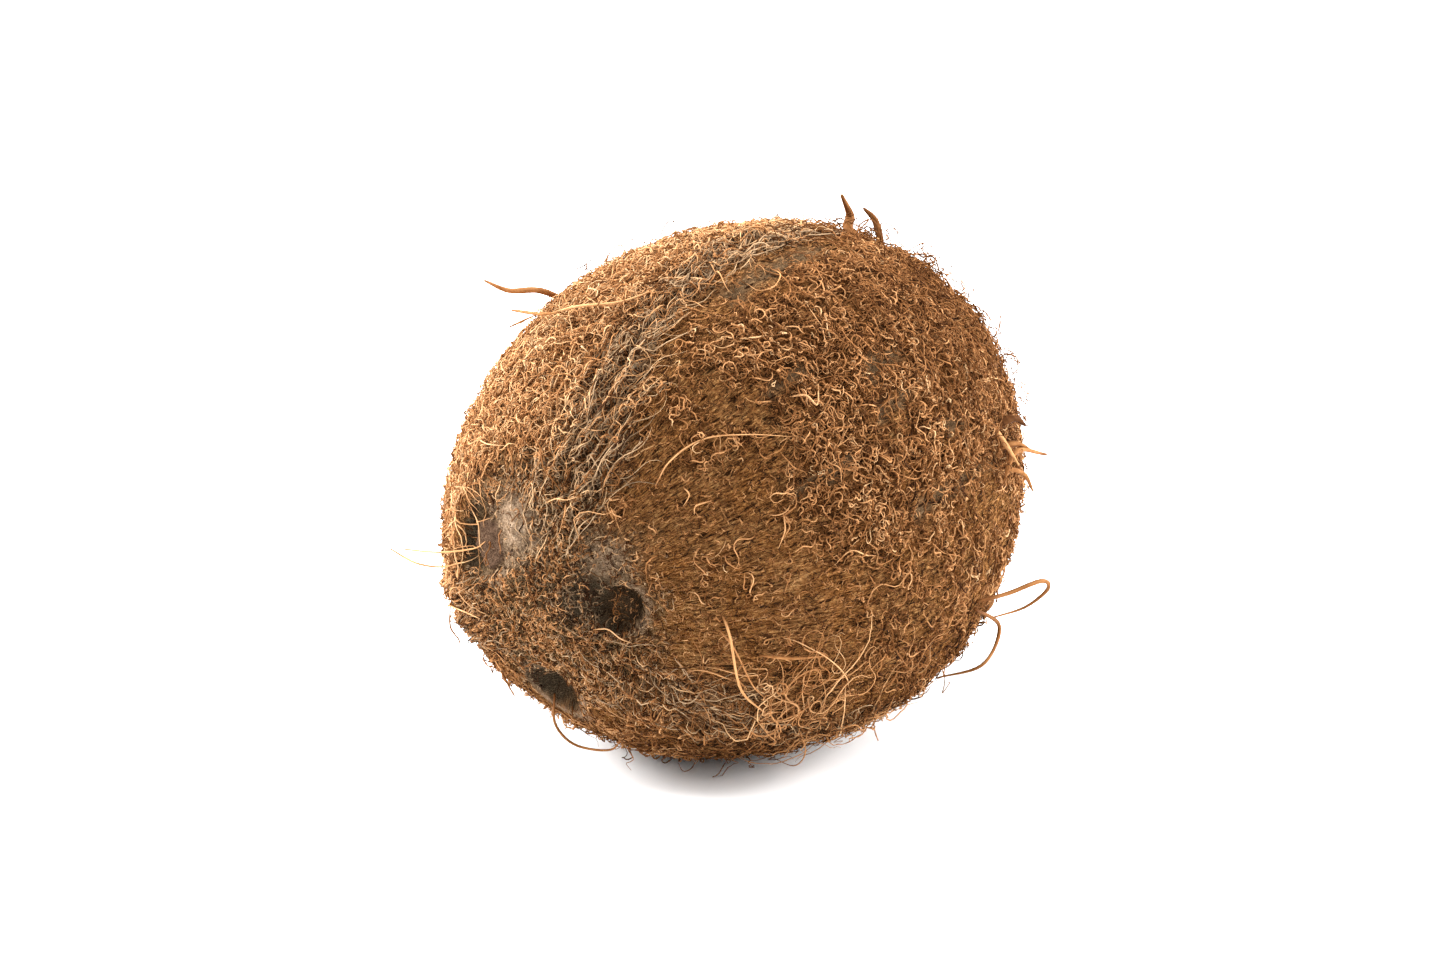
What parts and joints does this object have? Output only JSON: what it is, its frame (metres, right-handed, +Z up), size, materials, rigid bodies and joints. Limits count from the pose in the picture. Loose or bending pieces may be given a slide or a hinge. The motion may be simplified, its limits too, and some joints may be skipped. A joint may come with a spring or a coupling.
{
  "type": "coconut",
  "caption": "Whole brown coconut with its outer husk pulled off, egg-shaped with soft ridges and sunken eyes, lying on its side on a small flat spot.",
  "frame": {"origin": "on the surface that the nut rests on, at the middle of its small flat spot's plane, straight below the centre of mass", "axes": "+Z up, +Y along the nut towards its far tip, so the eye end looks towards -Y and a little down, +X across"},
  "size_m": [0.1024, 0.1304, 0.0993],
  "materials": {
    "husk": "dry, matt, fibrous shell with coarse hairs"
  },
  "bodies": {
    "root": {"coconut": "husk"}
  },
  "joints": []
}
